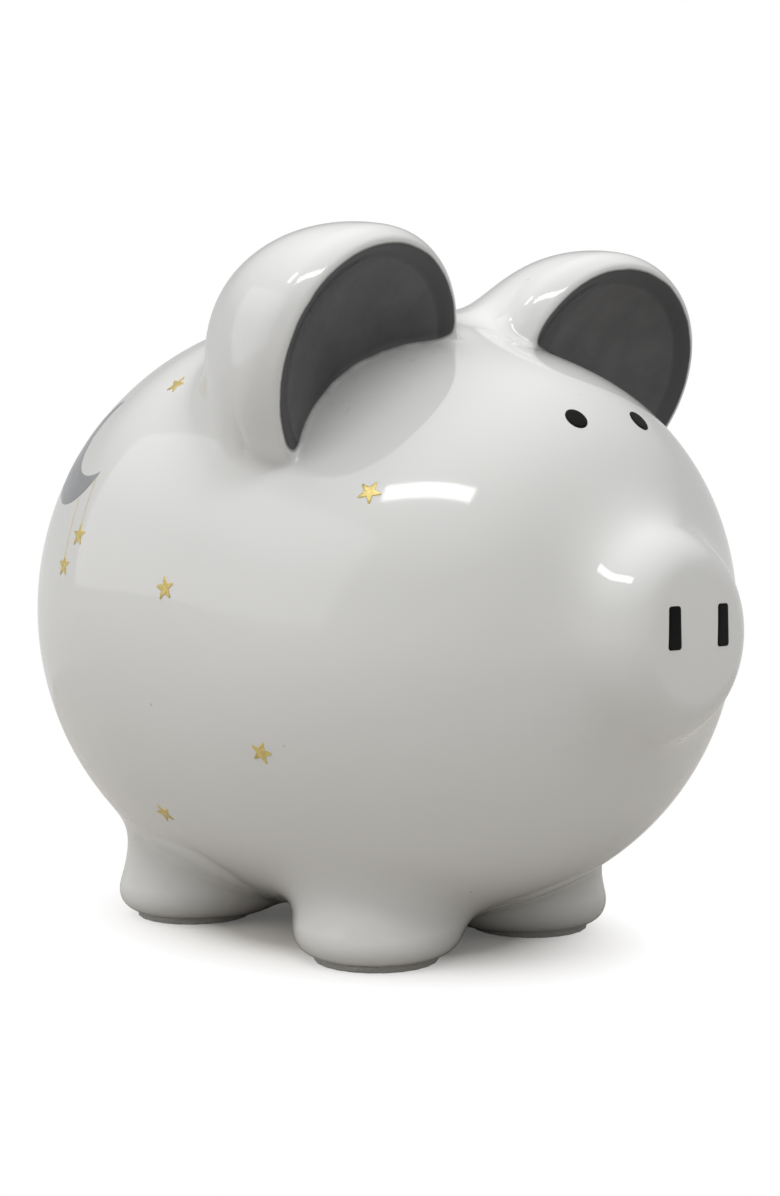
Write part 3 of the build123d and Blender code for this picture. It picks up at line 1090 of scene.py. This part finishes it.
class Nodes:
    """A small helper to build the node tree of a material or world."""

    def __init__(self, owner):
        owner.use_nodes = True
        self.owner = owner
        self.tree = owner.node_tree
        self.shader = self.tree.nodes.get("Principled BSDF")

    def add(self, kind, **values):
        node = self.tree.nodes.new(kind)
        for key, value in values.items():
            setattr(node, key, value)
        return node

    def link(self, a, b):
        self.tree.links.new(a, b)

    def where(self):
        return self.add("ShaderNodeTexCoord").outputs["Object"]

    def noise(self, scale, detail=3.0, roughness=0.5, stretch=None):
        source = self.where()
        if stretch:
            mapping = self.add("ShaderNodeMapping")
            mapping.inputs["Scale"].default_value = stretch
            self.link(source, mapping.inputs["Vector"])
            source = mapping.outputs["Vector"]
        node = self.add("ShaderNodeTexNoise")
        node.inputs["Scale"].default_value = scale
        node.inputs["Detail"].default_value = detail
        node.inputs["Roughness"].default_value = roughness
        self.link(source, node.inputs["Vector"])
        return node.outputs["Fac"]

    def ramp(self, fac, stops):
        node = self.add("ShaderNodeValToRGB")
        ramp = node.color_ramp
        while len(ramp.elements) < len(stops):
            ramp.elements.new(0.5)
        for element, (place, colour) in zip(ramp.elements, stops):
            element.position = place
            element.color = (*colour, 1)
        self.link(fac, node.inputs["Fac"])
        return node.outputs["Color"]

    def span(self, fac, low, high, to_low, to_high):
        node = self.add("ShaderNodeMapRange")
        for key, value in (("From Min", low), ("From Max", high), ("To Min", to_low), ("To Max", to_high)):
            node.inputs[key].default_value = value
        self.link(fac, node.inputs["Value"])
        return node.outputs["Result"]

    def mix(self, fac, a, b, data_type="RGBA"):
        node = self.add("ShaderNodeMix", data_type=data_type)
        for socket, value in ((node.inputs["A"], a), (node.inputs["B"], b)):
            if isinstance(value, tuple):
                socket.default_value = (*value, 1)
            elif isinstance(value, float):
                socket.default_value = value
            else:
                self.link(value, socket)
        self.link(fac, node.inputs["Factor"])
        return node.outputs["Result"]

    def mix_shader(self, fac, first, second):
        node = self.add("ShaderNodeMixShader")
        self.link(fac, node.inputs["Fac"])
        self.link(first, node.inputs[1])
        self.link(second, node.inputs[2])
        return node.outputs["Shader"]

    def combine(self, operation, a, b):
        node = self.add("ShaderNodeMath", operation=operation)
        self.link(a, node.inputs[0])
        self.link(b, node.inputs[1])
        return node.outputs["Value"]

    def kept(self, name):
        """A value kept on the mesh."""
        return self.add("ShaderNodeAttribute", attribute_name=name, attribute_type="GEOMETRY").outputs["Fac"]

    def bump(self, height, distance, strength=1.0, onto=None):
        node = self.add("ShaderNodeBump")
        node.inputs["Strength"].default_value = strength
        node.inputs["Distance"].default_value = distance
        self.link(height, node.inputs["Height"])
        if onto is not None:
            self.link(onto, node.inputs["Normal"])
        return node.outputs["Normal"]

    def feed(self, **outputs):
        """Links outputs to the shader's sockets."""
        for key, output in outputs.items():
            self.link(output, self.shader.inputs[key.replace("_", " ")])

    def set(self, **values):
        """Sets the shader's own sockets."""
        for key, value in values.items():
            self.shader.inputs[key.replace("_", " ")].default_value = value


def new_material(name):
    return Nodes(bpy.data.materials.new(name))


def glaze():
    """White glaze with the grey painted ear cups and a painted shade on their walls, from the distances kept
    on the mesh.
    """
    n = new_material("white_glaze")
    cloud = n.noise(9.0, 3.0, 0.55)
    white = n.ramp(cloud, [(0.30, (0.745, 0.745, 0.735)), (0.70, (0.775, 0.776, 0.770))])
    specks = n.add("ShaderNodeTexVoronoi", feature="F1")
    specks.inputs["Scale"].default_value = 46.0
    n.link(n.where(), specks.inputs["Vector"])
    speck = n.span(specks.outputs["Distance"], 0.018, 0.03, 0.5, 0.0)
    white = n.mix(speck, white, (0.45, 0.40, 0.33))
    brushed = n.noise(60.0, 4.0, 0.6, (1.0, 0.45, 1.0))
    grey = n.ramp(brushed, [(0.30, (0.060, 0.060, 0.064)), (0.72, (0.108, 0.108, 0.113))])
    # Painted shade: the cup walls just inside the mouth are painted darker than the cup floor.
    wall = n.span(n.kept("mouth_distance"), -EAR_STEP_WIDTH - 0.6, -EAR_STEP_WIDTH + 0.4, 0.0, 1.0)
    grey = n.mix(wall, grey, (0.044, 0.044, 0.049))
    wander = n.span(n.noise(160.0, 2.0), 0.0, 1.0, -0.35, 0.35)
    edge = n.combine("ADD", n.kept("paint_distance"), wander)
    painted = n.span(edge, -0.35, 0.35, 1.0, 0.0)
    smooth = n.span(n.noise(22.0, 2.0), 0.3, 0.7, 0.07, 0.11)
    rolling = n.bump(n.noise(26.0, 1.0, 0.3), 0.00035, 0.35)
    n.feed(Base_Color=n.mix(painted, white, grey),
           Roughness=n.mix(painted, smooth, 0.42, "FLOAT"),
           Coat_Weight=n.mix(painted, 0.35, 0.12, "FLOAT"),
           Normal=n.bump(n.noise(240.0, 2.0, 0.4), 0.00002, 0.25, rolling))
    n.set(IOR=1.5, Coat_Roughness=0.04)
    return n.owner


def black_enamel():
    """Brushed black enamel, less shiny than the glaze."""
    n = new_material("black_enamel")
    n.feed(Base_Color=n.ramp(n.noise(300.0), [(0.3, (0.002, 0.002, 0.002)), (0.7, (0.004, 0.004, 0.004))]),
           Roughness=n.span(n.noise(120.0), 0.3, 0.7, 0.34, 0.46),
           Normal=n.bump(n.noise(500.0), 0.00003, 0.4))
    n.set(Specular_IOR_Level=0.08)
    return n.owner


def moon_enamel():
    """Light grey printed enamel."""
    n = new_material("moon_grey")
    cloud = n.noise(70.0, 4.0, 0.6)
    n.feed(Base_Color=n.ramp(cloud, [(0.28, (0.278, 0.283, 0.298)), (0.72, (0.348, 0.353, 0.368))]),
           Roughness=n.span(n.noise(200.0), 0.3, 0.7, 0.16, 0.26),
           Normal=n.bump(n.noise(420.0), 0.00003, 0.4))
    return n.owner


def gold_leaf():
    """Gold paint with a fine metallic grain."""
    n = new_material("gold_leaf")
    grain = n.noise(900.0, 4.0, 0.7)
    n.feed(Base_Color=n.ramp(grain, [(0.25, (0.50, 0.38, 0.10)), (0.75, (0.85, 0.70, 0.30))]),
           Roughness=n.span(n.noise(1400.0, 3.0), 0.3, 0.7, 0.28, 0.5),
           Normal=n.bump(n.noise(1600.0, 3.0), 0.0001, 0.6))
    n.set(Metallic=0.6)
    return n.owner


def felt():
    """Fuzzy grey felt for the foot discs."""
    n = new_material("grey_felt")
    fuzz = n.noise(1500.0, 5.0, 0.75)
    fine = n.bump(fuzz, 0.0004, 0.9)
    n.feed(Base_Color=n.ramp(fuzz, [(0.25, (0.50, 0.49, 0.46)), (0.75, (0.74, 0.73, 0.70))]),
           Roughness=n.span(fuzz, 0.2, 0.8, 0.85, 1.0),
           Normal=n.bump(n.noise(300.0, 3.0), 0.0004, 0.5, fine))
    n.set(Sheen_Weight=0.35, Sheen_Roughness=0.5)
    return n.owner


def soft_vinyl():
    """Milky soft plastic for the stopper."""
    n = new_material("soft_vinyl")
    n.feed(Base_Color=n.ramp(n.noise(60.0, 3.0), [(0.3, (0.62, 0.62, 0.58)), (0.7, (0.70, 0.70, 0.66))]),
           Roughness=n.span(n.noise(400.0, 3.0), 0.3, 0.7, 0.42, 0.58),
           Normal=n.bump(n.noise(900.0, 2.0), 0.00006, 0.5))
    n.set(Subsurface_Weight=0.25, Subsurface_Scale=0.004)
    return n.owner


MADE = {}


def dress(piece, node, material):
    """Gives a piece its material and hides the CAD node it stands for."""
    if material not in MADE:
        MADE[material] = material()
    piece.data.materials.append(MADE[material])
    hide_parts(node)
    return piece


# ---------------------------------------------------------------- the glazed pig

def make_castings():
    low = np.array(cad_box[0]) / MM - 4.0
    high = np.array(cad_box[1]) / MM + 4.0
    points, quads = closed_net(glazed_field, low, high, CELL)
    points = relax(onto_surface(points), quads)
    for name, (part_points, part_faces) in split_castings(points, quads).items():
        piece = make_object("glazed_" + name, part_points, part_faces)
        if name == "body":
            hollow_out(piece)
        places = glaze_normals(piece)
        for title, values in paint_distances(places).items():
            distance = piece.data.attributes.new(title, "FLOAT", "POINT")
            distance.data.foreach_set("value", values.astype(np.float32))
        dress(piece, "body_shell" if name == "body" else name, glaze)


# ---------------------------------------------------------------- stage, light and camera

# The camera stands low and close, in front of the pig's right side.
CAMERA_AZIMUTH = -43.1
CAMERA_ELEVATION = 3.2
CAMERA_DISTANCE = 604.6
CAMERA_AIM_ACROSS = 6.5
CAMERA_AIM_Y = 11.1
CAMERA_AIM_Z = 99.0
CAMERA_LENS = 60.03
# The soft boxes stand this far off, in metres, and face this spot.
STUDIO_DISTANCE = 1.5
LIGHT_AIM = (0.0, 0.0, 0.1)
# The floor's two rings of corners, in metres.
FLOOR_RINGS = (0.2, 0.45)
# The light thrown back under the pig and beyond it: the floor is coloured darker under the pig as painted
# shade, paler beyond it.
BOUNCE_COLOURS = ((0.34, 0.31, 0.27), (0.56, 0.54, 0.51))
# The shadow seen on the paper: an oval round this middle, from its reach inwards, in metres.
SHADOW_Y = 0.015
SHADOW_REACH = (0.055, 0.075)
SHADOW_FADE = (0.72, 1.3)
SHADOW_LIFT = 0.08
# Sky brightness by height: from the horizon to straight up.
SKY_STOPS = ((0.0, 0.25), (0.35, 0.29), (0.70, 0.80), (1.0, 1.65))
# The same as the glaze mirrors it: a white backdrop stands all round at the horizon.
MIRRORED_STOPS = ((0.0, 0.74), (0.12, 0.60), (0.35, 0.30), (0.70, 0.80), (1.0, 1.65))
SKY_WARMTH = 0.99


def floor_paper():
    """White paper that shows the pig's shadow, is plain white all round and clear from below."""
    n = new_material("floor_paper")
    camera_ray = n.add("ShaderNodeLightPath").outputs["Is Camera Ray"]
    seen_colour = n.ramp(n.noise(3.0, 2.0), [(0.3, (0.93, 0.885, 0.82)), (0.7, (0.96, 0.915, 0.85))])
    n.set(Roughness=0.8)
    mapping = n.add("ShaderNodeMapping", vector_type="TEXTURE")
    mapping.inputs["Location"].default_value = (0, SHADOW_Y, 0)
    mapping.inputs["Scale"].default_value = (*SHADOW_REACH, 1)
    n.link(n.where(), mapping.inputs["Vector"])
    away = n.add("ShaderNodeVectorMath", operation="LENGTH")
    n.link(mapping.outputs["Vector"], away.inputs[0])
    fade = n.span(away.outputs["Value"], *SHADOW_FADE, SHADOW_LIFT, 1.0)
    # Other rays see the floor darker inside the oval, a painted shade under the pig; the camera sees pale
    # paper.
    n.feed(Base_Color=n.mix(camera_ray, n.mix(fade, *BOUNCE_COLOURS), seen_colour))
    white = n.add("ShaderNodeEmission").outputs["Emission"]
    paper = n.mix_shader(n.combine("MULTIPLY", fade, camera_ray), n.shader.outputs["BSDF"], white)
    underside = n.add("ShaderNodeNewGeometry").outputs["Backfacing"]
    clear = n.add("ShaderNodeBsdfTransparent").outputs["BSDF"]
    either = n.mix_shader(underside, paper, clear)
    n.link(either, n.tree.nodes["Material Output"].inputs["Surface"])
    return n.owner


def make_stage():
    """A plain pale floor."""
    turns = np.linspace(0, 2 * math.pi, 64, endpoint=False)
    points = [(*polar(radius, turn), 0) for radius in FLOOR_RINGS for turn in turns]
    rings = numbered_rings(0, len(turns), len(FLOOR_RINGS))
    floor = make_object("floor", np.array(points) / MM, bands(rings) + [tuple(rings[0])], None)
    floor.data.materials.append(floor_paper())


def outward_direction(azimuth, elevation):
    """Unit direction away from the pig; azimuth turns from its front to its left."""
    a, e = math.radians(azimuth), math.radians(elevation)
    return Vector((math.sin(a) * math.cos(e), -math.cos(a) * math.cos(e), math.sin(e)))


def soft_box(name, azimuth, elevation, size, power, roll=0):
    """A soft box facing the pig from this direction, turned by its roll."""
    light = bpy.data.lights.new(name, "AREA")
    light.shape = "RECTANGLE"
    light.size, light.size_y = size
    light.energy = power
    box = bpy.data.objects.new(name, light)
    away = outward_direction(azimuth, elevation)
    box.location = Vector(LIGHT_AIM) + STUDIO_DISTANCE * away
    box.rotation_euler = (-away).to_track_quat("-Z", "Y").to_euler()
    box.rotation_euler.rotate_axis("Z", math.radians(roll))
    box.visible_camera = False
    bpy.context.scene.collection.objects.link(box)
    return box


def make_world():
    """A white surround for the camera; for the light, a pale ceiling over dim walls."""
    n = Nodes(bpy.data.worlds.new("studio"))
    surround = n.tree.nodes["Background"]
    surround.inputs["Color"].default_value = (1.0, 1.0, 1.0, 1)
    direction = n.add("ShaderNodeTexCoord").outputs["Generated"]
    split = n.add("ShaderNodeSeparateXYZ")
    n.link(direction, split.inputs["Vector"])
    skies = []
    for stops in (SKY_STOPS, MIRRORED_STOPS):
        colours = [(height, (level, level, level * SKY_WARMTH)) for height, level in stops]
        skies.append(n.ramp(split.outputs["Z"], colours))
    path = n.add("ShaderNodeLightPath")
    sky = n.add("ShaderNodeBackground")
    n.link(n.mix(path.outputs["Is Glossy Ray"], *skies), sky.inputs["Color"])
    lit, seen = sky.outputs["Background"], surround.outputs["Background"]
    both = n.mix_shader(path.outputs["Is Camera Ray"], lit, seen)
    n.link(both, n.tree.nodes["World Output"].inputs["Surface"])
    bpy.context.scene.world = n.owner


def make_lights():
    """Two strips and a window that the glaze mirrors, and a fill that it does not."""
    make_world()
    soft_box("long_strip", -58.5, 53.5, (1.00, 0.17), 4.1, -6)
    soft_box("side_strip", -118, 55, (0.24, 0.20), 0.8)
    soft_box("wide_window", -122, 24, (2.1, 1.1), 3.7)
    soft_box("front_fill", -14, 54, (2.0, 1.2), 1.8).visible_glossy = False
    bpy.context.scene.view_settings.view_transform = "Standard"


def make_camera():
    back = outward_direction(CAMERA_AZIMUTH, CAMERA_ELEVATION)
    right = Vector((*polar(1.0, math.radians(CAMERA_AZIMUTH)), 0.0))
    target = Vector((0, CAMERA_AIM_Y, CAMERA_AIM_Z)) + CAMERA_AIM_ACROSS * right
    camera = bpy.data.cameras.new("camera")
    camera.lens = CAMERA_LENS
    camera.clip_start = 0.01
    thing = bpy.data.objects.new("camera", camera)
    thing.location = (target + CAMERA_DISTANCE * back) * MM
    thing.rotation_euler = (-back).to_track_quat("-Z", "Y").to_euler()
    bpy.context.scene.collection.objects.link(thing)
    bpy.context.scene.camera = thing


make_camera()
make_stage()
make_lights()
make_castings()
make_eyes_and_nostrils()
make_stars()
make_moon()
make_threads()
make_pads()
make_stopper()
